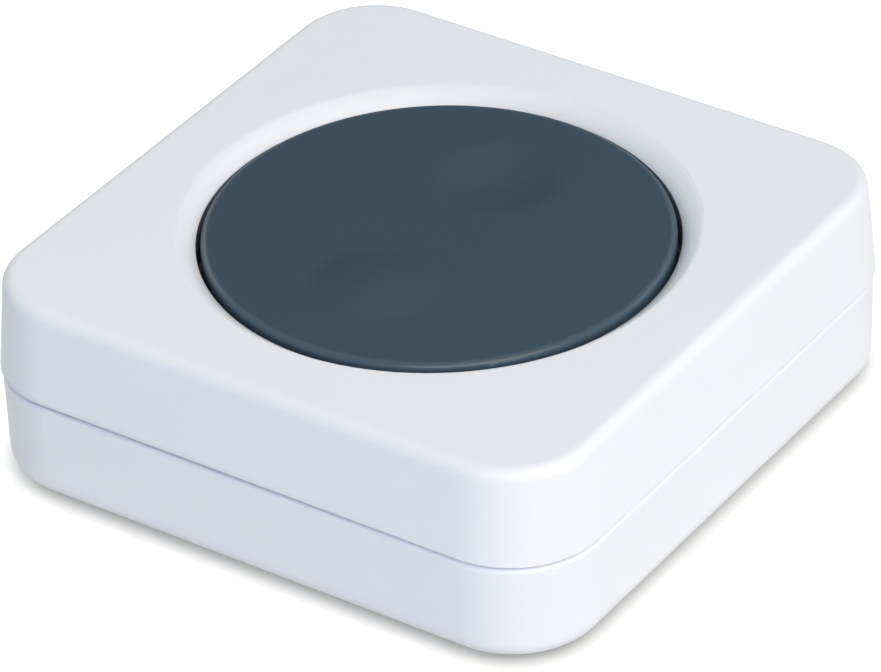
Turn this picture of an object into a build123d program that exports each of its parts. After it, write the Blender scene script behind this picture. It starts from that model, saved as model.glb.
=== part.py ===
from build123d import *
import math
import os

# Smart button: a square battery-powered radio push-button with a round rocking key.
# The frame is in millimetres, +Z up, with the origin under the middle of the feet.
# The key's hollow lies towards +Y and its bump towards -Y.

# Case, outside
case_width = 50.0
case_corner = 7.0
lower_height = 8.12
upper_height = 7.56
seam_gap = 0.32
seam_step = 0.1
top_inset = 0.66
base_inset = 0.13
top_round = 0.95
base_round = 1.65
seam_round = 0.45
foot_stand = 0.3

# Case, walls
case_wall = 1.8
top_wall = 1.8
floor_wall = 1.6
inner_round = 0.9
lip_height = 1.0
lip_thickness = 0.8
lip_root = 0.5
lip_clearance = 0.1
rib_thickness = 1.0
rib_depth = 2.0
fuse_depth = 0.3

# Recess for the key
key_gap = 0.35
key_recess = 0.6
bevel_run = 1.4
bevel_angle = 39.0
bevel_round = 0.5
well_wall = 1.4
well_floor = 1.2

# Key
key_radius = 17.3
key_plate = 1.6
key_rim_round = 0.45
skirt_wall = 1.4
skirt_depth = 1.35
skirt_round = 0.25
touch_offset = 8.25
touch_radius = 4.5
touch_depth = 0.5
touch_round = 5.0
key_rib_depth = 0.8
key_rib_thickness = 0.9
key_rib_start = 2.5
key_rib_angles = (30, 60, 120, 150, 210, 240, 300, 330)

# Rocking pivot
rock_angle = 1.8
stop_clearance = 0.1
pivot_radius = 0.8
pivot_clearance = 0.05
pivot_drop = 1.05
pivot_tip = 0.25
lug_thickness = 1.5
lug_centre = 12.35
lug_half = 1.3
ear_wall = 0.9
ear_thickness = 1.6
ear_gap = 0.3
ear_rise = 0.55
ear_round = 0.35

# Key's feet on the switches
key_foot_radius = 1.5
key_foot_length = 1.45
key_foot_crown = 4.0
key_foot_play = 0.05

# Tactile switches
switch_size = 6.0
switch_height = 4.3
switch_body = 3.2
switch_corner = 0.5
cover_thickness = 0.3
cover_tab_width = 2.6
cover_tab_length = 1.4
cover_rivet_radius = 0.4
cover_rivet_height = 0.12
cover_rivet_inset = 0.8
bore_radius = 2.3
bore_floor = 1.0
plunger_radius = 1.7
plunger_clearance = 0.05
plunger_flange_radius = 2.1
plunger_flange = 0.6
plunger_flange_lift = 0.5
plunger_round = 0.25
terminal_width = 0.7
terminal_thickness = 0.2
terminal_pitch = 4.5
terminal_reach = 1.3
terminal_rise = 0.9
terminal_bend = 0.3
window_clearance = 0.4

# Circuit board
board_margin = 2.2
board_thickness = 1.0
board_corner = 1.5
board_notch_clearance = 0.5
board_screw_inset = 6.0
board_boss_radius = 1.9
board_screw_radius = 0.8
board_screw_length = 3.5
board_head_radius = 1.5
board_head_height = 1.0
board_hole_clearance = 0.15
thread_clearance = 0.02
pilot_extra = 0.25

# Screws through the case
screw_radius = 1.0
screw_length = 10.0
screw_head_radius = 1.9
screw_head_height = 1.3
screw_seat = 2.3
screw_hole_clearance = 0.15
screw_head_clearance = 0.2
screw_pilot_extra = 0.5
screw_point_share = 0.5
head_round_share = 0.45
recess_width = 0.45
recess_depth_share = 0.55
recess_span_share = 0.6
pillar_radius = 3.0
upper_pillar_radius = 2.6

# Feet
foot_radius = 3.2
foot_thickness = 0.8
foot_clearance = 0.2
foot_round = 0.25

# Coin cell
cell_radius = 10.0
cell_height = 3.2
cell_round = 0.35
cell_cap_radius = 8.85
cell_cap_height = 0.45
cell_crimp = 0.25
cell_seal_radius = 9.3
cell_play = 0.15
cell_guide_clearance = 0.3
cell_guide_thickness = 1.2
cell_guide_angles = (0, 60, 120, 240, 300)

# Battery door and its bayonet
door_radius = 13.4
door_clearance = 0.15
door_recess = 0.2
door_flange = 0.5
door_flange_round = 0.2
door_seat_clearance = 0.1
hub_radius = 11.9
hub_thickness = 1.8
hub_clearance = 0.2
cup_wall = 1.3
lug_reach = 1.3
lug_depth = 1.0
lug_lift = 0.15
lug_span = 28.0
notch_span = 30.0
lug_angles = (90, 210, 330)
unlock_angle = 40.0
stop_span = 5.0
stop_gap = 0.7
well_clearance = 0.4
battery_wall = 1.2
battery_wall_gap = 0.2
guide_lift = 0.35
coin_radius = 11.0
coin_slot_width = 1.8
coin_slot_depth = 1.3
mark_radius = 0.5
mark_depth = 0.25
mark_ring = 15.2
door_mark_ring = 12.6

# Battery contacts
contact_thickness = 0.2
contact_width = 4.0
contact_bend = 0.5
contact_play = 0.05
leaf_foot = 3.0
leaf_run = 5.0
leaf_tip = 1.6
leaf_lift_share = 0.35
side_foot = 2.2
side_drop = 1.2
side_bulge = 0.55
side_tail = 0.45

# Radio board
module_length = 14.0
module_width = 10.0
module_thickness = 0.8
module_margin = 1.4
shield_length = 8.4
shield_width = 9.2
shield_height = 1.6
shield_sheet = 0.2
shield_round = 0.5
shield_inset = 0.3
shield_hole_radius = 0.35
shield_hole_pitch = 2.0
antenna_width = 0.5
antenna_pitch = 1.1
antenna_height = 0.1
antenna_span = 8.0
antenna_runs = 5
antenna_start = 0.9

# Parts of the power supply, chips and light
chip_size = 3.0
chip_height = 1.0
chip_pad = 0.35
chip_pad_height = 0.15
inductor_size = 4.0
inductor_height = 2.0
inductor_core_radius = 1.35
inductor_rim = 0.5
inductor_flange = 0.4
passive_length = 1.6
passive_width = 0.8
capacitor_height = 0.8
resistor_height = 0.45
passive_round = 0.08
led_length = 1.6
led_width = 0.8
led_height = 0.5
led_lens_radius = 0.3
light_hole_radius = 0.9
light_ring = 16.4
light_angle = 200.0

# One depth that every cut runs past the face it starts from, and the distance that tells edges apart
overrun = 1.0
same_place = 0.01

# Places on the board, as shares of half its width
chip_share = (-0.36, 0.0)
inductor_share = (-0.62, 0.1)
capacitor_shares = ((-0.36, 0.2), (-0.36, -0.2), (-0.62, -0.18), (0.3, 0.62), (0.41, 0.62), (0.3, -0.62))
resistor_shares = ((-0.22, 0.12), (-0.22, -0.12), (-0.5, 0.34), (-0.5, -0.34), (0.41, -0.62), (-0.7, 0.4))

# Levels
base_z = foot_stand
floor_z = base_z + floor_wall
lower_top = base_z + lower_height
upper_z = lower_top + seam_gap
top_z = upper_z + upper_height
ceiling_z = top_z - top_wall
key_top = top_z - key_recess
key_under = key_top - key_plate
skirt_z = key_under - skirt_depth
well_top = skirt_z - key_radius * math.sin(math.radians(rock_angle)) - stop_clearance
well_under = well_top - well_floor
pivot_z = key_under - pivot_drop
foot_tip = key_under - key_foot_length
plunger_top = foot_tip - key_foot_play
board_top = plunger_top - switch_height
board_z = board_top - board_thickness
cover_top = board_top + switch_body
cover_z = cover_top - cover_thickness
bore_z = board_top + bore_floor
door_face = base_z + door_recess
flange_top = door_face + door_flange
ledge_z = flange_top + door_seat_clearance
hub_top = door_face + hub_thickness
lug_z = floor_z + lug_lift
lug_top = lug_z + lug_depth
cell_z = hub_top + cell_play
cell_top = cell_z + cell_height
guide_z = lug_top + guide_lift
battery_wall_top = board_z - battery_wall_gap
seat_z = base_z + screw_seat
module_top = board_top + module_thickness

# Plan sizes
half = case_width / 2
lower_half = half - seam_step
lip_half = lower_half - case_wall + lip_thickness
pillar_offset = half - case_corner
hole_radius = key_radius + key_gap
bevel_drop = bevel_run * math.tan(math.radians(bevel_angle))
well_radius = hole_radius + well_wall
skirt_inside = key_radius - skirt_wall
board_half = half - case_wall - board_margin
board_screw_offset = pillar_offset - board_screw_inset
module_centre = board_half - module_margin - module_length / 2
pivot_bore = pivot_radius + pivot_clearance
ear_half = pivot_bore + ear_wall
lug_outer = lug_centre + lug_thickness / 2
ear_centre = lug_outer + ear_gap + ear_thickness / 2
pin_end = ear_centre + ear_thickness / 2 + pivot_tip
touch_sphere = (touch_radius ** 2 + touch_depth ** 2) / (2 * touch_depth)
lug_radius = hub_radius + lug_reach
lug_hole = hub_radius + hub_clearance
battery_inside = lug_radius + well_clearance
battery_outside = battery_inside + battery_wall
guide_radius = cell_radius + cell_guide_clearance
upper_draft = math.degrees(math.atan2(top_inset, upper_height))
lower_draft = math.degrees(math.atan2(base_inset, lower_height))
corners = [(x * pillar_offset, y * pillar_offset) for x in (-1, 1) for y in (-1, 1)]
board_screws = [(x * board_screw_offset, y * board_screw_offset) for x in (-1, 1) for y in (-1, 1)]
light_place = (
    light_ring * math.cos(math.radians(light_angle)),
    light_ring * math.sin(math.radians(light_angle)),
)
upright = (Align.CENTER, Align.CENTER, Align.MIN)


def disc(radius, low, high, x=0, y=0):
    """A round bar on a vertical axis, between two levels."""
    return Pos(x, y, low) * Cylinder(radius, high - low, align=upright)


def ring(inner, outer, low, high, x=0, y=0):
    """A tube on a vertical axis, between two levels."""
    return disc(outer, low, high, x, y) - disc(inner, low, high, x, y)


def block(length, width, low, high, x=0, y=0):
    """A box between two levels, centred on x and y."""
    return Pos(x, y, low) * Box(length, width, high - low, align=upright)


def rounded_square(half_side, radius, level):
    """A square with rounded corners, drawn flat at a level."""
    return Plane.XY.offset(level) * RectangleRounded(2 * half_side, 2 * half_side, radius)


def sector(inner, outer, low, high, middle, span):
    """Part of a flat ring, as wide as span in degrees, about the direction middle."""
    section = Pos((inner + outer) / 2, (low + high) / 2) * Rectangle(outer - inner, high - low)
    return Rot(0, 0, middle - span / 2) * revolve(Plane.XZ * section, Axis.Z, revolution_arc=span)


def spoke(start, end, thickness, low, high, angle):
    """A radial rib from one radius to another, between two levels."""
    return Rot(0, 0, angle) * block(end - start, thickness, low, high, x=(start + end) / 2)


def circle_edges(shape, radius, level):
    """The round edges of a shape that have this radius and lie at this level."""
    found = []
    for edge in shape.edges().filter_by(GeomType.CIRCLE):
        if abs(edge.radius - radius) < same_place and abs(edge.arc_center.Z - level) < same_place:
            found.append(edge)
    return found


def bent_strip(points, bend, width, thickness):
    """Sheet metal that follows points in the XZ plane, with its bends rounded."""
    path = FilletPolyline(*[(x, 0, z) for x, z in points], radius=bend)
    section = Plane(origin=path @ 0, z_dir=path % 0, x_dir=(0, 1, 0)) * Rectangle(width, thickness)
    return sweep(section, path)


def group(solids):
    """Several solids kept apart in one named piece."""
    return Compound(children=list(solids))


def upper_shell():
    """The drafted, rounded cap of the case, hollowed to an even wall and rebated for the lower lip."""
    outside = extrude(rounded_square(half, case_corner, upper_z), upper_height, taper=upper_draft)
    outside = fillet(outside.edges().group_by(Axis.Z)[-1], top_round)
    inside_corner = case_corner - case_wall
    hollow = extrude(
        rounded_square(half - case_wall, inside_corner, upper_z), ceiling_z - upper_z, taper=upper_draft
    )
    hollow = fillet(hollow.edges().group_by(Axis.Z)[-1], inner_round)
    rebate_half = lip_half + lip_clearance
    rebate_corner = rebate_half - half + case_corner
    rebate_z = upper_z - overrun
    rebate_depth = lower_top + lip_height + lip_clearance - rebate_z
    rebate = extrude(rounded_square(rebate_half, rebate_corner, rebate_z), rebate_depth)
    return outside - hollow - rebate


def upper_bosses():
    """Pillars for the case screws, bosses for the board and the ribs that brace them and the well."""
    made = []
    low = ceiling_z - rib_depth
    high = ceiling_z + fuse_depth
    reach = case_corner - case_wall + fuse_depth
    for x, y in corners:
        made.append(disc(upper_pillar_radius, lower_top, high, x, y))
        brace = block(reach, rib_thickness, low, high, x=reach / 2)
        made.append(Pos(x, y, 0) * Rot(0, 0, math.degrees(math.atan2(y, x))) * brace)
    for x, y in board_screws:
        made.append(disc(board_boss_radius, board_top, high, x, y))
    rib_start = well_radius - fuse_depth
    rib_end = half - case_wall + fuse_depth
    for angle in (0, 90, 180, 270):
        made.append(spoke(rib_start, rib_end, rib_thickness, low, high, angle))
    return made


def key_recess_cut():
    """The bore that the key sits in, widening to the top face by a cone."""
    past = overrun / bevel_drop
    outline = Polyline(
        (0, well_top),
        (hole_radius, well_top),
        (hole_radius, top_z - bevel_drop),
        (hole_radius + bevel_run * (1 + past), top_z + overrun),
        (0, top_z + overrun),
        close=True,
    )
    return revolve(Plane.XZ * make_face(outline), Axis.Z)


def pivot_ear(side):
    """A snap-in bearing on the well's floor. Its bore is cut off above the pin, so the mouth grips it."""
    body = block(ear_thickness, 2 * ear_half, well_top - fuse_depth, pivot_z + ear_rise)
    body = fillet(body.edges().filter_by(Axis.X).group_by(Axis.Z)[-1], ear_round)
    bore = Pos(0, 0, pivot_z) * Rot(0, 90, 0) * Cylinder(pivot_bore, ear_thickness + 2 * overrun)
    return Pos(side * ear_centre, 0, 0) * (body - bore)


def upper_housing():
    """Upper shell with the bevelled well, its floor, the bearings, the bosses and the switch windows."""
    body = upper_shell()
    body += disc(well_radius, well_under, top_z - top_wall / 2)
    body += upper_bosses()
    body -= key_recess_cut()
    body = fillet(circle_edges(body, hole_radius + bevel_run, top_z), bevel_round)
    body += [pivot_ear(side) for side in (-1, 1)]
    window = switch_size + 2 * window_clearance
    for side in (-1, 1):
        body -= block(window, window, well_under - overrun, well_top + overrun, y=side * touch_offset)
    pilot_top = seat_z + screw_length + screw_pilot_extra
    for x, y in corners:
        body -= disc(screw_radius + thread_clearance, lower_top - overrun, pilot_top, x, y)
    board_pilot_top = board_z + board_screw_length + pilot_extra
    for x, y in board_screws:
        body -= disc(board_screw_radius + thread_clearance, board_top - overrun, board_pilot_top, x, y)
    body -= disc(light_hole_radius, well_under - overrun, well_top + overrun, *light_place)
    return body


def lower_shell():
    """The drafted tray of the case with its rounded base and the lip that enters the upper shell."""
    base_half = lower_half - base_inset
    outside = extrude(
        rounded_square(base_half, case_corner - base_inset, base_z), lower_height, taper=-lower_draft
    )
    outside = fillet(outside.edges().group_by(Axis.Z)[0], base_round)
    outside = fillet(outside.edges().group_by(Axis.Z)[-1], seam_round)
    inner_corner = case_corner - case_wall
    inner_half = lower_half - case_wall
    hollow = extrude(rounded_square(inner_half, inner_corner, floor_z), lower_height)
    hollow = fillet(hollow.edges().group_by(Axis.Z)[0], inner_round)
    lip_corner = inner_corner + lip_thickness
    lip = extrude(rounded_square(lip_half, lip_corner, lower_top - lip_root), lip_root + lip_height)
    return outside + lip - hollow


def battery_well():
    """The round wall about the cell, with guides that centre it above the door's lugs."""
    made = [ring(battery_inside, battery_outside, floor_z - fuse_depth, battery_wall_top)]
    for angle in cell_guide_angles:
        guide_end = battery_inside + fuse_depth
        made.append(spoke(guide_radius, guide_end, cell_guide_thickness, guide_z, cell_top, angle))
    for angle in lug_angles:
        locked_stop = angle + lug_span / 2 + stop_gap + stop_span / 2
        free_stop = angle - unlock_angle - lug_span / 2 - stop_gap - stop_span / 2
        for middle in (locked_stop, free_stop):
            stop_end = battery_inside + fuse_depth
            made.append(sector(lug_hole, stop_end, floor_z - fuse_depth, lug_top, middle, stop_span))
    return made


def door_opening():
    """The stepped hole that the door fills, with a notch for each lug to drop through."""
    cuts = [disc(door_radius + door_clearance, base_z - overrun, ledge_z)]
    cuts.append(disc(lug_hole, ledge_z - overrun, floor_z + overrun))
    start = lug_hole - fuse_depth
    end = lug_radius + hub_clearance
    for angle in lug_angles:
        middle = angle - unlock_angle
        cuts.append(sector(start, end, ledge_z - overrun, floor_z + fuse_depth, middle, notch_span))
    return cuts


def lower_housing():
    """Lower shell with screw pillars, the battery well, the bayonet ledge and seats for the feet."""
    body = lower_shell()
    for x, y in corners:
        body += disc(pillar_radius, floor_z - fuse_depth, lower_top, x, y)
    for piece in battery_well():
        body += piece
    for cut in door_opening():
        body -= cut
    foot_seat = base_z + foot_thickness - foot_stand
    for x, y in corners:
        body -= disc(foot_radius + foot_clearance, base_z - overrun, foot_seat, x, y)
        body -= disc(screw_head_radius + screw_head_clearance, base_z, seat_z, x, y)
        body -= disc(screw_radius + screw_hole_clearance, base_z, lower_top + overrun, x, y)
    for angle in (lug_angles[0], lug_angles[0] - unlock_angle):
        x = mark_ring * math.cos(math.radians(angle))
        y = mark_ring * math.sin(math.radians(angle))
        body -= disc(mark_radius, base_z - overrun, base_z + mark_depth, x, y)
    return body


def battery_door():
    """Bayonet door: flange, hub with three lugs, a cup round the cell and a slot for a coin."""
    flange = disc(door_radius, door_face, flange_top)
    flange = fillet(circle_edges(flange, door_radius, door_face), door_flange_round)
    body = flange + disc(hub_radius, door_face + door_flange / 2, hub_top)
    body += ring(hub_radius - cup_wall, hub_radius, hub_top - fuse_depth, lug_top)
    for angle in lug_angles:
        body += sector(hub_radius - fuse_depth, lug_radius, lug_z, lug_top, angle, lug_span)
    coin = Rot(90, 0, 0) * Cylinder(coin_radius, coin_slot_width)
    body -= Pos(0, 0, door_face + coin_slot_depth - coin_radius) * coin
    mark_angle = math.radians(lug_angles[0])
    mark_x = door_mark_ring * math.cos(mark_angle)
    mark_y = door_mark_ring * math.sin(mark_angle)
    body -= disc(mark_radius, door_face - overrun, door_face + mark_depth, mark_x, mark_y)
    return body


def key_blank():
    """The key's plate and skirt, with a rolled rim, a finger hollow and a finger bump."""
    body = disc(key_radius, skirt_z, key_top) - disc(skirt_inside, skirt_z - overrun, key_under)
    body = fillet(circle_edges(body, key_radius, key_top), key_rim_round)
    body = fillet(circle_edges(body, key_radius, skirt_z), skirt_round)
    body -= Pos(0, touch_offset, key_top + touch_sphere - touch_depth) * Sphere(touch_sphere)
    dome = Pos(0, -touch_offset, key_top - touch_sphere + touch_depth) * Sphere(touch_sphere)
    dome &= disc(touch_radius + touch_depth, key_top - key_plate / 2, key_top + overrun, y=-touch_offset)
    body += dome
    return fillet(circle_edges(body, touch_radius, key_top), touch_round)


def key_pivots():
    """The two lugs under the key, each with a pin that snaps into a bearing."""
    made = []
    high = key_under + fuse_depth
    for side in (-1, 1):
        lug = block(lug_thickness, 2 * pivot_radius, pivot_z, high, x=side * lug_centre)
        lug += block(lug_thickness, 2 * lug_half, key_under - fuse_depth, high, x=side * lug_centre)
        pin_start = lug_centre - lug_thickness / 2
        pin = Cylinder(pivot_radius, pin_end - pin_start)
        made.append(lug + Pos(side * (pin_start + pin_end) / 2, 0, pivot_z) * Rot(0, 90, 0) * pin)
    return made


def button_cap():
    """The round key: rocks about its pins and presses one switch or the other with a crowned foot."""
    body = key_blank()
    rib_end = skirt_inside + fuse_depth
    rib_low = key_under - key_rib_depth
    for angle in key_rib_angles:
        body += spoke(key_rib_start, rib_end, key_rib_thickness, rib_low, key_under + fuse_depth, angle)
    body += key_pivots()
    for side in (-1, 1):
        post = disc(key_foot_radius, foot_tip, key_under + fuse_depth, y=side * touch_offset)
        body += post & Pos(0, side * touch_offset, foot_tip + key_foot_crown) * Sphere(key_foot_crown)
    return body


def switch_base(y):
    """Moulded switch base with a bore for the plunger's flange."""
    body = block(switch_size, switch_size, board_top, cover_z, y=y)
    body = chamfer(body.edges().filter_by(Axis.Z), switch_corner)
    return body - disc(bore_radius, bore_z, cover_z + overrun, y=y)


def switch_cover(y):
    """Pressed cover of a switch: a plate with a round hole, two folded tabs and four rivet heads."""
    body = block(switch_size, switch_size, cover_z, cover_top, y=y)
    body = chamfer(body.edges().filter_by(Axis.Z), switch_corner)
    tab_x = switch_size / 2 + cover_thickness / 2
    tab_z = cover_top - cover_tab_length
    for side in (-1, 1):
        body += block(cover_thickness, cover_tab_width, tab_z, cover_top, side * tab_x, y)
    rivet = switch_size / 2 - cover_rivet_inset
    rivet_top = cover_top + cover_rivet_height
    for sx in (-1, 1):
        for sy in (-1, 1):
            body += disc(cover_rivet_radius, cover_z, rivet_top, sx * rivet, y + sy * rivet)
    return body - disc(plunger_radius + plunger_clearance, cover_z - overrun, cover_top + overrun, y=y)


def switch_plunger(y):
    """Stepped plunger: its flange stays under the cover through the whole stroke."""
    flange_z = bore_z + plunger_flange_lift
    body = disc(plunger_flange_radius, flange_z, flange_z + plunger_flange, y=y)
    body += disc(plunger_radius, flange_z, plunger_top, y=y)
    return fillet(circle_edges(body, plunger_radius, plunger_top), plunger_round)


def switch_terminal(x_side, y_side, y):
    """One gull-wing terminal: out of the base, down and flat on the board."""
    start = switch_size / 2
    knee = start + terminal_reach / 2
    high = board_top + terminal_rise
    low = board_top + terminal_thickness / 2
    points = [(start, high), (knee, high), (knee, low), (start + terminal_reach, low)]
    leg = bent_strip(points, terminal_bend, terminal_width, terminal_thickness)
    turned = Rot(0, 0, 0 if x_side > 0 else 180) * leg
    return Pos(0, y + y_side * terminal_pitch / 2, 0) * turned


def circuit_board():
    """Main board, notched round the case pillars and drilled for its screws."""
    plate = extrude(rounded_square(board_half, board_corner, board_z), board_thickness)
    notch_radius = pillar_radius + board_notch_clearance
    notch_half = board_half - pillar_offset + notch_radius
    notch_depth = board_thickness + 2 * overrun
    notch = extrude(rounded_square(notch_half, notch_radius, board_z - overrun), notch_depth)
    for x, y in corners:
        plate -= Pos(math.copysign(board_half, x), math.copysign(board_half, y), 0) * notch
    for x, y in board_screws:
        hole = board_screw_radius + board_hole_clearance
        plate -= disc(hole, board_z - overrun, board_top + overrun, x, y)
    return plate


def module_shield():
    """Pressed screening can, open below, with rows of vent holes."""
    x = module_centre - module_length / 2 + shield_inset + shield_length / 2
    can = block(shield_length, shield_width, module_top, module_top + shield_height, x)
    can = fillet(can.edges().filter_by(Axis.Z) + can.edges().group_by(Axis.Z)[-1], shield_round)
    top = module_top + shield_height
    inner_length = shield_length - 2 * shield_sheet
    inner_width = shield_width - 2 * shield_sheet
    can -= block(inner_length, inner_width, module_top - overrun, top - shield_sheet, x)
    for column in (-1, 0, 1):
        for row in (-1, 0, 1):
            hole_x = x + column * shield_hole_pitch
            can -= disc(shield_hole_radius, module_top, top + overrun, hole_x, row * shield_hole_pitch)
    return can


def module_antenna():
    """Meander of copper at the free end of the radio board."""
    start = module_centre - module_length / 2 + shield_inset + shield_length + antenna_start
    top = module_top + antenna_height
    made = block(antenna_width, antenna_span, module_top, top, start)
    for run in range(1, antenna_runs):
        x = start + run * antenna_pitch
        made += block(antenna_width, antenna_span, module_top, top, x)
        link_y = (antenna_span - antenna_width) / 2 * (1 if run % 2 else -1)
        link_length = antenna_pitch + antenna_width
        made += block(link_length, antenna_width, module_top, top, x - antenna_pitch / 2, link_y)
    return made


def regulator_chip():
    """Square power chip with a row of pads on two sides."""
    x, y = (share * board_half for share in chip_share)
    body = block(chip_size, chip_size, board_top, board_top + chip_height, x, y)
    body = chamfer(body.edges().group_by(Axis.Z)[-1], chip_pad_height)
    for side in (-1, 1):
        for row in (-1, 0, 1):
            pad_x = x + side * (chip_size + chip_pad) / 2
            pad_y = y + row * chip_size / 3
            body += block(chip_pad, chip_pad, board_top, board_top + chip_pad_height, pad_x, pad_y)
    return body


def power_inductor():
    """Open wound inductor: two square flanges on a round winding."""
    x, y = (share * board_half for share in inductor_share)
    top = board_top + inductor_height
    low = block(inductor_size, inductor_size, board_top, board_top + inductor_flange, x, y)
    high = block(inductor_size, inductor_size, top - inductor_flange, top, x, y)
    core = disc(inductor_core_radius + inductor_rim / 2, board_top, top, x, y)
    return fillet((low + high).edges().filter_by(Axis.Z), inductor_rim) + core


def passives(shares, height):
    """Small two-ended chips set on the board."""
    made = []
    for x_share, y_share in shares:
        x = x_share * board_half
        y = y_share * board_half
        chip = block(passive_length, passive_width, board_top, board_top + height, x, y)
        made.append(fillet(chip.edges().filter_by(Axis.Y), passive_round))
    return group(made)


def status_led():
    """Surface light with a low domed lens, under the hole in the well's floor."""
    x, y = light_place
    body = block(led_length, led_width, board_top, board_top + led_height, x, y)
    return body + Pos(x, y, board_top + led_height) * Sphere(led_lens_radius)


def coin_cell():
    """Coin cell with its rounded can below, and the smaller cap and seal groove above."""
    groove_z = cell_top - cell_cap_height
    outline = Polyline(
        (0, cell_z),
        (cell_radius, cell_z),
        (cell_radius, groove_z),
        (cell_radius - cell_crimp, groove_z + cell_crimp),
        (cell_seal_radius, groove_z + cell_crimp),
        (cell_seal_radius, groove_z),
        (cell_cap_radius, groove_z),
        (cell_cap_radius, cell_top),
        (0, cell_top),
        close=True,
    )
    body = revolve(Plane.XZ * make_face(outline), Axis.Z)
    rounded = circle_edges(body, cell_radius, cell_z) + circle_edges(body, cell_cap_radius, cell_top)
    return fillet(rounded, cell_round)


def negative_contact():
    """Leaf on the board's underside that bends down to the middle of the cell."""
    high = board_z - contact_thickness / 2
    low = cell_top + contact_play + contact_thickness / 2
    points = [
        (-leaf_foot - leaf_run / 2, high),
        (-leaf_run / 2, high),
        (leaf_run / 2, low),
        (leaf_run / 2 + leaf_tip, low + (high - low) * leaf_lift_share),
    ]
    return bent_strip(points, contact_bend, contact_width, contact_thickness)


def positive_contact():
    """Leaf that hangs from the board beside the cell and bulges in to its rim."""
    high = board_z - contact_thickness / 2
    rim = cell_radius + contact_play + contact_thickness / 2
    hang = rim + side_bulge
    middle = cell_top - side_drop
    low = middle - side_bulge
    points = [
        (-hang - side_foot, high),
        (-hang, high),
        (-hang, middle + side_bulge),
        (-rim, middle),
        (-hang, low),
        (-hang, low - side_tail),
    ]
    return bent_strip(points, side_bulge / 2, contact_width, contact_thickness)


def screw(x, y, seat, radius, length, head_radius, head_height):
    """Pan-head screw driven upwards, its head under the seat, with a cross recess and a blunt point."""
    body = disc(radius, seat, seat + length, x, y)
    body = chamfer(circle_edges(body, radius, seat + length), radius * screw_point_share)
    head_z = seat - head_height
    head = disc(head_radius, head_z, seat, x, y)
    body += fillet(circle_edges(head, head_radius, head_z), head_height * head_round_share)
    recess_top = head_z + head_height * recess_depth_share
    recess_span = 2 * head_radius * recess_span_share
    body -= block(recess_span, recess_width, head_z - overrun, recess_top, x, y)
    body -= block(recess_width, recess_span, head_z - overrun, recess_top, x, y)
    return body


def housing_screw(x, y):
    return screw(x, y, seat_z, screw_radius, screw_length, screw_head_radius, screw_head_height)


def board_screw(x, y):
    length = board_screw_length
    return screw(x, y, board_z, board_screw_radius, length, board_head_radius, board_head_height)


def rubber_foot(x, y):
    """Flat rubber foot with a softened edge."""
    body = disc(foot_radius, 0, foot_thickness, x, y)
    return fillet(circle_edges(body, foot_radius, 0), foot_round)


nodes = {
    "upper_housing": upper_housing(),
    "lower_housing": lower_housing(),
    "button_cap": button_cap(),
    "battery_door": battery_door(),
    "circuit_board": circuit_board(),
    "radio_module": block(module_length, module_width, board_top, module_top, module_centre),
    "module_shield": module_shield(),
    "module_antenna": module_antenna(),
    "regulator_chip": regulator_chip(),
    "power_inductor": power_inductor(),
    "chip_capacitors": passives(capacitor_shares, capacitor_height),
    "chip_resistors": passives(resistor_shares, resistor_height),
    "status_led": status_led(),
    "switch_bases": group(switch_base(side * touch_offset) for side in (-1, 1)),
    "switch_covers": group(switch_cover(side * touch_offset) for side in (-1, 1)),
    "switch_terminals": group(
        switch_terminal(x_side, y_side, side * touch_offset)
        for side in (-1, 1)
        for x_side in (-1, 1)
        for y_side in (-1, 1)
    ),
    "switch_plunger_back": switch_plunger(touch_offset),
    "switch_plunger_front": switch_plunger(-touch_offset),
    "coin_cell": coin_cell(),
    "negative_contact": negative_contact(),
    "positive_contact": positive_contact(),
    "housing_screws": group(housing_screw(x, y) for x, y in corners),
    "board_screws": group(board_screw(x, y) for x, y in board_screws),
    "rubber_feet": group(rubber_foot(x, y) for x, y in corners),
}

os.makedirs("parts", exist_ok=True)
for name, shape in nodes.items():
    export_step(shape, f"parts/{name}.step")
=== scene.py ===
import math
from functools import cached_property

import bmesh
import bpy
from mathutils import Matrix, Vector


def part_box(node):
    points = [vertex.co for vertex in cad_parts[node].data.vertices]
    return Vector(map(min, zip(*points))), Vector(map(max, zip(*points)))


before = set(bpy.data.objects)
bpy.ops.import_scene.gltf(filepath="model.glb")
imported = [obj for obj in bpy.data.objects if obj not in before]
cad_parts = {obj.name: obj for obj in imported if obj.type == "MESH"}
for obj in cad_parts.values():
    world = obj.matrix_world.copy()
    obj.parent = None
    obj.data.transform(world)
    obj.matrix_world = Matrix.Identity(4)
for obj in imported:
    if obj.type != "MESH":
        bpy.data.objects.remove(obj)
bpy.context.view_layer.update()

# Lengths are in metres, apart from those of relief, which is in millimetres.
mm = 0.001

# Camera, fitted to the outline of the case and the rings of the key in the photograph
photo_width = 881
sensor_width = 36
focal_pixels = 6199.07
camera_azimuth = 34.876
camera_elevation = 34.232
camera_roll = -2.071
camera_distance = 452.59 * mm
camera_right = -0.08 * mm
camera_up = -1.845 * mm
aim_height = 8.67 * mm

# Studio. Each lamp has a name, azimuth, elevation, watts and colour.
lamp_distance = 1.0
lamp_size = 0.5
lamps = (
    ("left fill", -105, 25, 1.45, (0.76, 0.96, 1.0)),
    ("front lamp", 35, 40, 6.0, (0.61, 0.70, 1.0)),
    ("right lamp", 75, 40, 4.0, (1.0, 0.88, 0.67)),
    ("high right lamp", 75, 65, 1.95, (1.0, 0.86, 0.32)),
    ("back right lamp", 150, 30, 2.45, (0.45, 0.65, 1.0)),
)
sky_strength = 0.2
sky_colour = (0.95, 0.97, 1.0, 1)
floor_size = 6

# What the camera sees of the floor: a lift to white, and a narrow shadow where the case meets it
floor_lift = 1.0
contact_reach = 2.2 * mm
contact_light = 0.21
contact_samples = 16

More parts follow.
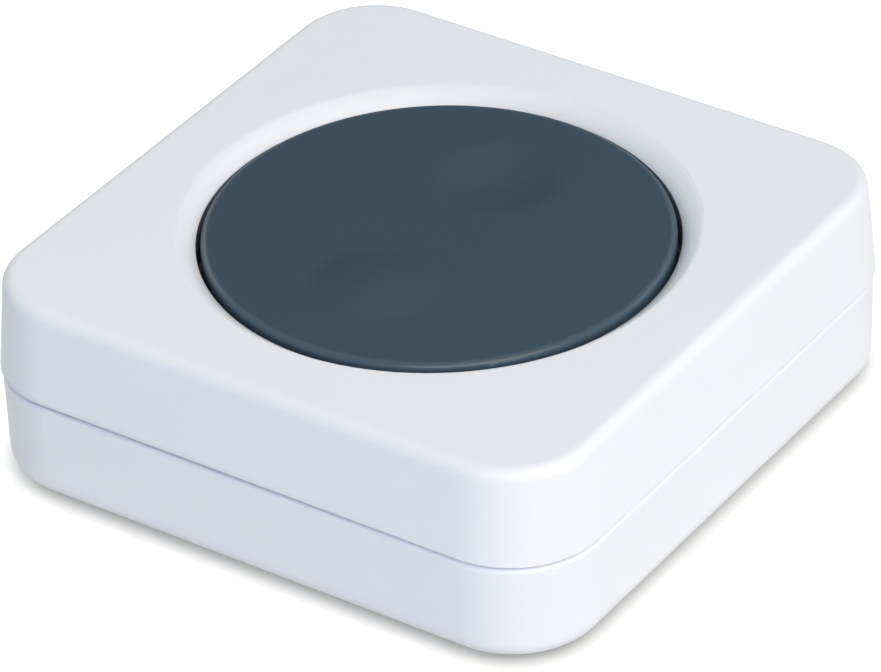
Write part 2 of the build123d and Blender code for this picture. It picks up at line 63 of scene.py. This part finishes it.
# Mouldings: their fine texture, and how far it and slow clouds of unevenness change the roughness
texture_grain = 0.14 * mm
texture_depth = 0.0035 * mm
texture_swing = 0.12
cloud_swing = 0.05
case_roughness = 0.5
case_specular = 0.4

# Recess round the key. Its ease and swell are of relief.
bevel_inner = 17.65 * mm
bevel_middle = 18.35 * mm
bevel_break = 18.87 * mm
bevel_ease = 0.36
bevel_swell = 0.3
# Painted shade darkens the well under the key, inside this margin and above this height.
well_margin = 0.005 * mm
well_floor_under = 10.85 * mm

# Seam between the shells, and the painted shade in and along it
lip_foot = 8.44 * mm
seam_fade_start = -4 * mm
seam_fade_end = 20 * mm
seam_middle = 8.58 * mm
seam_reach = 0.7 * mm
seam_strength = 0.45

# Key. Its swell is of relief.
touch_offset = 8.25 * mm
touch_reach = 5.0 * mm
touch_swell = 0.5
rim_start = 16.7 * mm
rim_fade = 0.3 * mm
rim_coat = 0.45

# Colours, linear
white_plastic = (0.80, 0.81, 0.83, 1)
slate = (0.049, 0.080, 0.107, 1)
mask_green = (0.012, 0.105, 0.045, 1)
mask_blue = (0.008, 0.04, 0.10, 1)
bare_copper = (0.80, 0.42, 0.25, 1)
gold_plate = (0.83, 0.60, 0.26, 1)
tin = (0.72, 0.72, 0.70, 1)
nickel = (0.66, 0.65, 0.62, 1)
zinc = (0.55, 0.56, 0.58, 1)
steel = (0.56, 0.57, 0.58, 1)
moulding_black = (0.014, 0.014, 0.015, 1)
ferrite_grey = (0.045, 0.045, 0.048, 1)
ceramic_tan = (0.44, 0.31, 0.19, 1)
resin_white = (0.78, 0.78, 0.74, 1)
phosphor_yellow = (0.80, 0.62, 0.10, 1)
plunger_red = (0.38, 0.035, 0.02, 1)
rubber_black = (0.02, 0.02, 0.021, 1)
# Painted shade in the well under the key
well_painted_shade = (0.20, 0.22, 0.27, 1)
# Painted shade on the lip inside the seam
lip_painted_shade = (0.03, 0.033, 0.045, 1)
# Painted shade along the seam's edges
seam_painted_shade = (0.30, 0.31, 0.37, 1)
seal_grey = (0.03, 0.03, 0.032, 1)
print_white = (0.75, 0.75, 0.72, 1)
floor_colour = (0.80, 0.80, 0.80, 1)
floor_seen = (0.42, 0.41, 0.38, 1)
white = (1, 1, 1, 1)
black = (0, 0, 0, 1)


class Value:
    """One output of a node. Arithmetic on it adds Math nodes to the same finish."""

    def __init__(self, finish, socket):
        self.finish = finish
        self.socket = socket

    def math(self, operation, *others):
        return self.finish.math(operation, self, *others)

    def at_least(self, low):
        return self.math("MAXIMUM", low)

    def at_most(self, high):
        return self.math("MINIMUM", high)

    def swing(self, spread):
        """A pattern that runs from 0 to 1, as a change both ways from 0 with this spread in all."""
        return (self - 0.5) * spread

    def __add__(self, other):
        return self.math("ADD", other)

    def __sub__(self, other):
        return self.math("SUBTRACT", other)

    def __rsub__(self, other):
        return self.finish.math("SUBTRACT", other, self)

    def __mul__(self, other):
        return self.math("MULTIPLY", other)

    def __truediv__(self, other):
        return self.math("DIVIDE", other)

    def __lt__(self, other):
        return self.math("LESS_THAN", other)

    def __gt__(self, other):
        return self.math("GREATER_THAN", other)

    def __abs__(self):
        return self.math("ABSOLUTE")

    __radd__ = __add__
    __rmul__ = __mul__


class Finish:
    """The nodes of one material, or of the world, as they are put together."""

    def __init__(self, owner):
        self.owner = owner
        owner.use_nodes = True
        self.tree = owner.node_tree
        self.tree.nodes.clear()

    def node(self, kind, settings=None, values=None, output=0):
        """Adds a node with its settings and its sockets' values or links, and gives one of its outputs."""
        made = self.tree.nodes.new(kind)
        for name, value in (settings or {}).items():
            setattr(made, name, value)
        for key, value in (values or {}).items():
            if isinstance(value, Value):
                self.tree.links.new(value.socket, made.inputs[key])
            else:
                made.inputs[key].default_value = value
        return Value(self, made.outputs[output]) if made.outputs else None

    def math(self, operation, *values):
        return self.node("ShaderNodeMath", {"operation": operation}, dict(enumerate(values)))

    @cached_property
    def place(self):
        """Object coordinates, which move with the piece."""
        return self.node("ShaderNodeTexCoord", output="Object")

    @cached_property
    def axes(self):
        """The place's x, y and z."""
        split = self.node("ShaderNodeSeparateXYZ", None, {0: self.place}).socket.node
        return [Value(self, split.outputs[axis]) for axis in "XYZ"]

    def distance_from(self, spot=(0, 0)):
        """Distance from an upright line through a spot, or through the middle of the key."""
        x, y, _ = self.axes
        return self.math("SQRT", (x - spot[0]).math("POWER", 2) + (y - spot[1]).math("POWER", 2))

    def noise(self, scale, detail, stretch=(1, 1, 1), roughness=0.5):
        where = self.node("ShaderNodeMapping", None, {"Vector": self.place, "Scale": stretch})
        settings = {"Scale": scale, "Detail": detail, "Roughness": roughness}
        return self.node("ShaderNodeTexNoise", None, {"Vector": where, **settings})

    def mix(self, factor, first, second):
        """Two colours mixed: the second one where the factor is 1. Sockets 6, 7 and 2 are the colours'."""
        return self.node("ShaderNodeMix", {"data_type": "RGBA"}, {0: factor, 6: first, 7: second}, 2)

    def mottle(self, pattern, colour, darkest, lightest):
        """One colour that goes darker and lighter with a pattern."""
        return self.mix(pattern, shade(colour, darkest), shade(colour, lightest))

    def bump(self, height, distance):
        return self.node("ShaderNodeBump", None, {"Height": height, "Distance": distance}, "Normal")

    def done(self, **values):
        """Ends the material in one Principled shader. Socket names have _ for a space."""
        named = {name.replace("_", " "): value for name, value in values.items()}
        shader = self.node("ShaderNodeBsdfPrincipled", None, named)
        self.node("ShaderNodeOutputMaterial", None, {"Surface": shader})
        return self.owner


def new_finish(name):
    """A new material, with its nodes still to be put together."""
    return Finish(bpy.data.materials.new(name))


def shade(colour, factor):
    """The same colour, lighter or darker."""
    return (*[min(1, part * factor) for part in colour[:3]], 1)


def either(masks):
    """1 where any of the masks is 1."""
    found = masks[0]
    for mask in masks[1:]:
        found = found.at_least(mask)
    return found


def mould_texture(finish):
    """The fine texture that a mould leaves, and a slow unevenness over the whole piece."""
    texture = finish.noise(scale=1 / texture_grain, detail=3, roughness=0.6)
    cloud = finish.noise(scale=60, detail=4)
    return texture, cloud


def moulded_plastic(name, colour, roughness, specular, relief=None, areas=()):
    """Injection-moulded plastic with a fine eroded texture and a faint unevenness of colour.

    Relief gives a larger shape in millimetres, and each area a colour and where it shows.
    """
    finish = new_finish(name)
    texture, cloud = mould_texture(finish)
    base = finish.mottle(cloud, colour, 0.985, 1.012)
    for area_colour, area in areas:
        base = finish.mix(area(finish), base, area_colour)
    height = texture * (texture_depth / mm)
    if relief:
        height = height + relief(finish)
    return finish.done(
        Base_Color=base,
        Roughness=roughness + texture.swing(texture_swing) + cloud.swing(cloud_swing),
        Specular_IOR_Level=specular,
        Normal=finish.bump(height, mm),
    )


def bevel_roll(finish):
    """The rolled section of the bevel round the key: steep at the gap, easing out into the flat top."""
    radius = finish.distance_from()
    run = (radius.at_least(bevel_inner).at_most(bevel_break) - bevel_middle) / mm
    ease = ((radius - bevel_break) / mm).at_least(0).at_most(bevel_ease)
    last_slope = 2 * bevel_swell * (bevel_break - bevel_middle) / mm
    return run * run * -bevel_swell - (ease - ease * ease / (2 * bevel_ease)) * last_slope


def well_shade_area(finish):
    """1 on the walls and floor of the well under the key, where painted shade darkens the white."""
    _, _, z = finish.axes
    return (finish.distance_from() < bevel_inner + well_margin) * (z > well_floor_under)


def seam_fade(x):
    """How much painted shade the seam gets: 1 on its -X part, fading to 0 towards +X, where the photograph
    shows the seam closed.
    """
    return ((seam_fade_end - x) / (seam_fade_end - seam_fade_start)).at_most(1).at_least(0)


def lip_shade_area(finish):
    """1 on the lip inside the seam, where painted shade darkens it, fading with it."""
    x, _, z = finish.axes
    return (z > lip_foot) * seam_fade(x)


def seam_shade(finish):
    """A soft line of painted shade along both edges of the seam, fading with it."""
    x, _, z = finish.axes
    near = (1 - abs(z - seam_middle) / seam_reach).at_least(0)
    return near * near * seam_strength * seam_fade(x)


def rocker_plastic(name, colour):
    """Matt key with a rim that fingers have polished, and a stronger swell in its two press zones."""
    finish = new_finish(name)
    texture, cloud = mould_texture(finish)
    rim = ((finish.distance_from() - rim_start) / rim_fade).at_least(0).at_most(1)
    height = texture * (texture_depth / mm)
    for side in (-1, 1):
        near = finish.distance_from((0, side * touch_offset)) / touch_reach
        swell = (1 - near * near).at_least(0)
        height = height + swell * swell * (-side * touch_swell)
    return finish.done(
        Base_Color=finish.mottle(cloud, colour, 0.97, 1.03),
        Roughness=0.75 + texture.swing(texture_swing),
        Specular_IOR_Level=0.02,
        Coat_Weight=rim * rim_coat,
        Coat_Roughness=0.25,
        Normal=finish.bump(height, mm),
    )


def plated(name, colour, roughness, brushing=(1, 1, 1)):
    """Plated or tinned metal with fine marks that run along one axis."""
    mark_depth = 0.001 * mm
    finish = new_finish(name)
    marks = finish.noise(scale=4000, detail=3, stretch=brushing)
    stain = finish.noise(scale=500, detail=3)
    return finish.done(
        Base_Color=finish.mottle(stain, colour, 0.88, 1.06),
        Metallic=1.0,
        Roughness=roughness + marks.swing(0.25) + stain.swing(0.1),
        Normal=finish.bump(marks, mark_depth),
    )


def circuit_board_mask(name, colour, holes, outlines):
    """Glass laminate under solder mask: buried tracks, gold rings round the holes and printed outlines.

    Tracks run both ways, each way in lanes that are broken up by its own patches.
    """
    track_pitch = 1.3 * mm
    track_half_share = 0.16
    track_depth = 0.01 * mm
    ring_radius = 1.5 * mm
    print_gap = 0.35 * mm
    print_half_width = 0.07 * mm
    finish = new_finish(name)
    x, y, _ = finish.axes
    tracks = []
    for across, shift, patch_scale, patch_edge in ((y, 0.0, 260, 0.5), (x, 0.37, 293.3, 0.5148)):
        lane = (across / track_pitch + shift).math("FRACT")
        patch = finish.noise(scale=patch_scale, detail=0)
        tracks.append((abs(lane - 0.5) < track_half_share) * (patch > patch_edge))
    track = either(tracks)
    speck = finish.noise(scale=900, detail=2)
    base = finish.mix(track, colour, shade(colour, 1.9))
    base = finish.mix(speck.swing(0.3) + 0.15, base, shade(colour, 0.6))
    for low, high in outlines:
        middle = (low + high) / 2
        reach = (high - low) / 2
        past_x = abs(x - middle[0]) - (reach[0] + print_gap)
        past_y = abs(y - middle[1]) - (reach[1] + print_gap)
        base = finish.mix(abs(past_x.at_least(past_y)) < print_half_width, base, print_white)
    metal = 0.0
    if holes:
        metal = either([finish.distance_from(hole) < ring_radius for hole in holes])
        base = finish.mix(metal, base, gold_plate)
    return finish.done(
        Base_Color=base,
        Metallic=metal,
        Roughness=0.34 + speck.swing(0.1),
        Normal=finish.bump(track + speck * 0.1, track_depth),
    )


def chip_plastic(name, box):
    """Moulded chip body with tinned pads at its foot and a round dimple at the first corner."""
    corner_x = 0.95 * mm
    corner_y = 0.55 * mm
    dimple_radius = 0.22 * mm
    pad_start = 1.5 * mm
    pad_height = 0.16 * mm
    grain_depth = 0.004 * mm
    low, high = box
    finish = new_finish(name)
    x, _, z = finish.axes
    grain = finish.noise(scale=5000, detail=3)
    dimple = finish.distance_from((low[0] + corner_x, high[1] - corner_y)) < dimple_radius
    pad = (abs(x - (low[0] + high[0]) / 2) > pad_start) * (z < low[2] + pad_height)
    base = finish.mottle(grain, moulding_black, 0.8, 1.5)
    base = finish.mix(dimple, base, shade(moulding_black, 3))
    return finish.done(
        Base_Color=finish.mix(pad, base, tin),
        Metallic=pad,
        Roughness=0.55 - pad * 0.25 + grain.swing(0.15),
        Normal=finish.bump(grain - dimple * 2, grain_depth),
    )


def end_capped(name, boxes, body_colour, roughness):
    """Chip parts with a coloured body between two tinned ends."""
    end_length = 0.3 * mm
    margin = 0.05 * mm
    grain_depth = 0.006 * mm
    finish = new_finish(name)
    x, y, _ = finish.axes
    caps = []
    for low, high in boxes:
        beside = abs(y - (low[1] + high[1]) / 2) < (high[1] - low[1]) / 2 + margin
        along = abs(x - (low[0] + high[0]) / 2)
        half_length = (high[0] - low[0]) / 2
        caps.append((along > half_length - end_length) * (along < half_length + margin) * beside)
    ends = either(caps)
    grain = finish.noise(scale=6000, detail=3)
    base = finish.mottle(grain, body_colour, 0.85, 1.12)
    return finish.done(
        Base_Color=finish.mix(ends, base, tin),
        Metallic=ends,
        Roughness=roughness - ends * 0.12 + grain.swing(0.15),
        Normal=finish.bump(grain + ends, grain_depth),
    )


def wound_ferrite(name, box):
    """Ferrite flanges with enamelled copper wire wound between them."""
    flange = 0.4 * mm
    wire_pitch = 0.17 * mm
    wire_depth = 0.03 * mm
    low, high = box
    finish = new_finish(name)
    _, _, z = finish.axes
    between = (z > low[2] + flange) * (z < high[2] - flange)
    turns = ((z - low[2]) / wire_pitch * math.tau).math("SINE")
    grain = finish.noise(scale=5000, detail=3)
    stone = finish.mottle(grain, ferrite_grey, 0.7, 1.3)
    return finish.done(
        Base_Color=finish.mix(between, stone, shade(bare_copper, 0.75)),
        Metallic=between,
        Roughness=0.6 - between * 0.3 + grain.swing(0.2),
        Normal=finish.bump(turns * between + grain * 0.4, wire_depth),
    )


def light_resin(name, box):
    """Milky resin body with a yellow phosphor lens."""
    lens_radius = 0.3 * mm
    grain_depth = 0.002 * mm
    finish = new_finish(name)
    lens = finish.distance_from(centre(box)) < lens_radius
    grain = finish.noise(scale=4000, detail=2)
    return finish.done(
        Base_Color=finish.mix(lens, resin_white, phosphor_yellow),
        Roughness=0.22 + grain.swing(0.1),
        Coat_Weight=0.3,
        Normal=finish.bump(grain, grain_depth),
    )


def cell_metal(name, box):
    """Nickel-plated cell: turned rings on its cap and a dark seal in the groove round it."""
    ring_pitch = 0.16 * mm
    ring_depth = 0.0012 * mm
    seal_inner = 8.86 * mm
    seal_outer = 9.28 * mm
    seal_depth = 0.47 * mm
    _, high = box
    finish = new_finish(name)
    _, _, z = finish.axes
    radius = finish.distance_from()
    rings = (radius / ring_pitch * math.tau).math("SINE")
    seal = (radius > seal_inner) * (radius < seal_outer) * (z > high[2] - seal_depth)
    wear = finish.noise(scale=700, detail=4)
    base = finish.mottle(wear, nickel, 0.9, 1.06)
    return finish.done(
        Base_Color=finish.mix(seal, base, seal_grey),
        Metallic=1 - seal,
        Roughness=0.3 + seal * 0.3 + wear.swing(0.16) + rings * 0.03,
        Normal=finish.bump(rings + wear, ring_depth),
    )


def screw_metal(name, node):
    """Zinc-plated screws: fine turning marks round each head, and painted shade in the recesses."""
    head_reach = 2.2 * mm
    recess_reach = 0.9 * mm
    mark_pitch = 0.09 * mm
    mark_depth = 0.0015 * mm
    finish = new_finish(name)
    stain = finish.noise(scale=900, detail=4)
    marks = stain
    # Painted shade: the zinc is darkened in each head's recess.
    recess_shades = []
    for box in solid_boxes(node):
        radius = finish.distance_from(centre(box))
        marks = marks + (radius / mark_pitch * math.tau).math("SINE") * (radius < head_reach)
        recess_shades.append(radius < recess_reach)
    base = finish.mottle(stain, zinc, 0.8, 1.08)
    return finish.done(
        Base_Color=finish.mix(either(recess_shades) * 0.35, base, shade(zinc, 0.4)),
        Metallic=1.0,
        Roughness=0.36 + stain.swing(0.2),
        Normal=finish.bump(marks, mark_depth),
    )


def foot_rubber(name):
    """Matt rubber with a fine open grain and a little dust in it."""
    grain_depth = 0.02 * mm
    finish = new_finish(name)
    grain = finish.noise(scale=3500, detail=4)
    dust = finish.noise(scale=450, detail=5)
    return finish.done(
        Base_Color=finish.mix((dust - 0.45) * 0.5, rubber_black, shade(rubber_black, 4)),
        Roughness=0.82 + grain.swing(0.12),
        Specular_IOR_Level=0.3,
        Normal=finish.bump(grain, grain_depth),
    )


def solid_boxes(node):
    """The lowest and highest corners of every separate solid in a CAD node, from -X to +X."""
    weld = 0.001 * mm
    mesh = bmesh.new()
    mesh.from_mesh(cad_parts[node].data)
    bmesh.ops.remove_doubles(mesh, verts=mesh.verts, dist=weld)
    waiting = set(mesh.verts)
    boxes = []
    while waiting:
        border = [waiting.pop()]
        solid = list(border)
        while border:
            for edge in border.pop().link_edges:
                for vert in edge.verts:
                    if vert in waiting:
                        waiting.discard(vert)
                        border.append(vert)
                        solid.append(vert)
        low = Vector([min(vert.co[axis] for vert in solid) for axis in range(3)])
        high = Vector([max(vert.co[axis] for vert in solid) for axis in range(3)])
        boxes.append((low, high))
    mesh.free()
    return sorted(boxes, key=lambda box: tuple(box[0]))


def centre(box):
    """The middle of a box that is given as its lowest and highest corners."""
    return (box[0] + box[1]) / 2


def dress(node, material):
    """Gives a CAD node one finish."""
    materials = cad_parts[node].data.materials
    materials.clear()
    materials.append(material)


def seen_directly(finish):
    """1 for what the camera sees straight on, in gloss or through glass, and 0 for light on the object."""
    kinds = ("Camera", "Glossy", "Transmission")
    return either([finish.node("ShaderNodeLightPath", output=f"Is {kind} Ray") for kind in kinds])


def studio_floor():
    """Pale floor at the feet. The camera sees it as white paper, darker only next to the object."""
    bpy.ops.object.select_all(action="DESELECT")
    bpy.ops.mesh.primitive_plane_add(size=floor_size, location=(0, 0, 0))
    floor = bpy.context.object
    floor.name = "floor"
    finish = new_finish("floor paper")
    settings = {"samples": contact_samples}
    open_sky = finish.node("ShaderNodeAmbientOcclusion", settings, {"Distance": contact_reach}, "AO")
    clear = open_sky * (1 - contact_light) + contact_light
    paper = finish.node("ShaderNodeBsdfDiffuse", None, {"Color": floor_colour})
    shown = finish.node("ShaderNodeBsdfDiffuse", None, {"Color": finish.mix(clear, black, floor_seen)})
    glow_colour = finish.mix(clear, black, white)
    glow = finish.node("ShaderNodeEmission", None, {"Color": glow_colour, "Strength": floor_lift})
    lifted = finish.node("ShaderNodeAddShader", None, {0: shown, 1: glow})
    shader = finish.node("ShaderNodeMixShader", None, {0: seen_directly(finish), 1: paper, 2: lifted})
    finish.node("ShaderNodeOutputMaterial", None, {"Surface": shader})
    floor.data.materials.append(finish.owner)


def studio_world():
    """Even light from all round. The camera, gloss and glass see white."""
    world = bpy.data.worlds.new("studio")
    bpy.context.scene.world = world
    finish = Finish(world)
    soft = finish.node("ShaderNodeBackground", None, {"Color": sky_colour, "Strength": sky_strength})
    backdrop = finish.node("ShaderNodeBackground", None, {"Color": white, "Strength": 1.0})
    shader = finish.node("ShaderNodeMixShader", None, {0: seen_directly(finish), 1: soft, 2: backdrop})
    finish.node("ShaderNodeOutputWorld", None, {"Surface": shader})


def direction(azimuth, elevation):
    """The way from the object to a lamp or camera. Azimuth 0 is in front, at -Y, and 90 is at +X."""
    turn = math.radians(azimuth)
    tilt = math.radians(elevation)
    return Vector((math.sin(turn) * math.cos(tilt), -math.cos(turn) * math.cos(tilt), math.sin(tilt)))


def softbox(name, azimuth, elevation, power, colour):
    """A square lamp that faces the object."""
    away = direction(azimuth, elevation)
    data = bpy.data.lights.new(name, "AREA")
    data.shape = "SQUARE"
    data.size = lamp_size
    data.energy = power
    data.color = colour
    lamp = bpy.data.objects.new(name, data)
    bpy.context.scene.collection.objects.link(lamp)
    lamp.location = away * lamp_distance
    lamp.rotation_mode = "QUATERNION"
    lamp.rotation_quaternion = (-away).to_track_quat("-Z", "Y")


def photo_camera():
    """The camera of the photograph."""
    turn = math.radians(camera_azimuth)
    roll = math.radians(camera_roll)
    back = direction(camera_azimuth, camera_elevation)
    level = Vector((math.cos(turn), math.sin(turn), 0))
    rise = back.cross(level)
    right = level * math.cos(roll) + rise * math.sin(roll)
    up = rise * math.cos(roll) - level * math.sin(roll)
    data = bpy.data.cameras.new("camera")
    data.sensor_width = sensor_width
    data.lens = focal_pixels / photo_width * sensor_width
    data.clip_start = camera_distance / 10
    data.clip_end = camera_distance * 50
    camera = bpy.data.objects.new("camera", data)
    bpy.context.scene.collection.objects.link(camera)
    place = Matrix((right, up, back)).transposed().to_4x4()
    place.translation = back * camera_distance + right * camera_right + up * camera_up
    place.translation += Vector((0, 0, aim_height))
    camera.matrix_world = place
    bpy.context.scene.camera = camera


board_holes = [centre(box) for box in solid_boxes("board_screws")]
printed_round = [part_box("regulator_chip"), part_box("power_inductor"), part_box("radio_module")]
red_plunger = moulded_plastic("red plunger", plunger_red, roughness=0.4, specular=0.5)
spring_bronze = plated("spring bronze", nickel, roughness=0.3, brushing=(0.04, 1, 1))
finishes = {
    "upper_housing": moulded_plastic(
        "satin white plastic with painted shade in the well and seam",
        white_plastic,
        case_roughness,
        case_specular,
        relief=bevel_roll,
        areas=((well_painted_shade, well_shade_area), (seam_painted_shade, seam_shade)),
    ),
    "lower_housing": moulded_plastic(
        "satin white plastic with painted shade in the seam",
        white_plastic,
        case_roughness,
        case_specular,
        areas=((seam_painted_shade, seam_shade), (lip_painted_shade, lip_shade_area)),
    ),
    "battery_door": moulded_plastic("satin white plastic", white_plastic, case_roughness, case_specular),
    "button_cap": rocker_plastic("matt slate key", slate),
    "circuit_board": circuit_board_mask("green solder mask", mask_green, board_holes, printed_round),
    "radio_module": circuit_board_mask("blue solder mask", mask_blue, [], []),
    "module_shield": plated("tinned sheet", tin, roughness=0.34, brushing=(0.05, 1, 1)),
    "module_antenna": plated("gold-plated copper", gold_plate, roughness=0.28),
    "regulator_chip": chip_plastic("chip moulding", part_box("regulator_chip")),
    "power_inductor": wound_ferrite("wound ferrite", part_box("power_inductor")),
    "chip_capacitors": end_capped(
        "ceramic with tinned ends", solid_boxes("chip_capacitors"), ceramic_tan, roughness=0.5
    ),
    "chip_resistors": end_capped(
        "glazed chip with tinned ends", solid_boxes("chip_resistors"), moulding_black, roughness=0.35
    ),
    "status_led": light_resin("light resin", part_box("status_led")),
    "switch_bases": moulded_plastic("black switch moulding", moulding_black, roughness=0.5, specular=0.4),
    "switch_covers": plated("stainless cover", steel, roughness=0.32, brushing=(1, 0.04, 1)),
    "switch_terminals": plated("tinned terminal", tin, roughness=0.3),
    "switch_plunger_back": red_plunger,
    "switch_plunger_front": red_plunger,
    "coin_cell": cell_metal("cell metal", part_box("coin_cell")),
    "negative_contact": spring_bronze,
    "positive_contact": spring_bronze,
    "housing_screws": screw_metal("zinc-plated case screw", "housing_screws"),
    "board_screws": screw_metal("zinc-plated board screw", "board_screws"),
    "rubber_feet": foot_rubber("foot rubber"),
}
for node, material in finishes.items():
    dress(node, material)

studio_floor()
studio_world()
for lamp in lamps:
    softbox(*lamp)
photo_camera()
bpy.context.scene.view_settings.view_transform = "Standard"
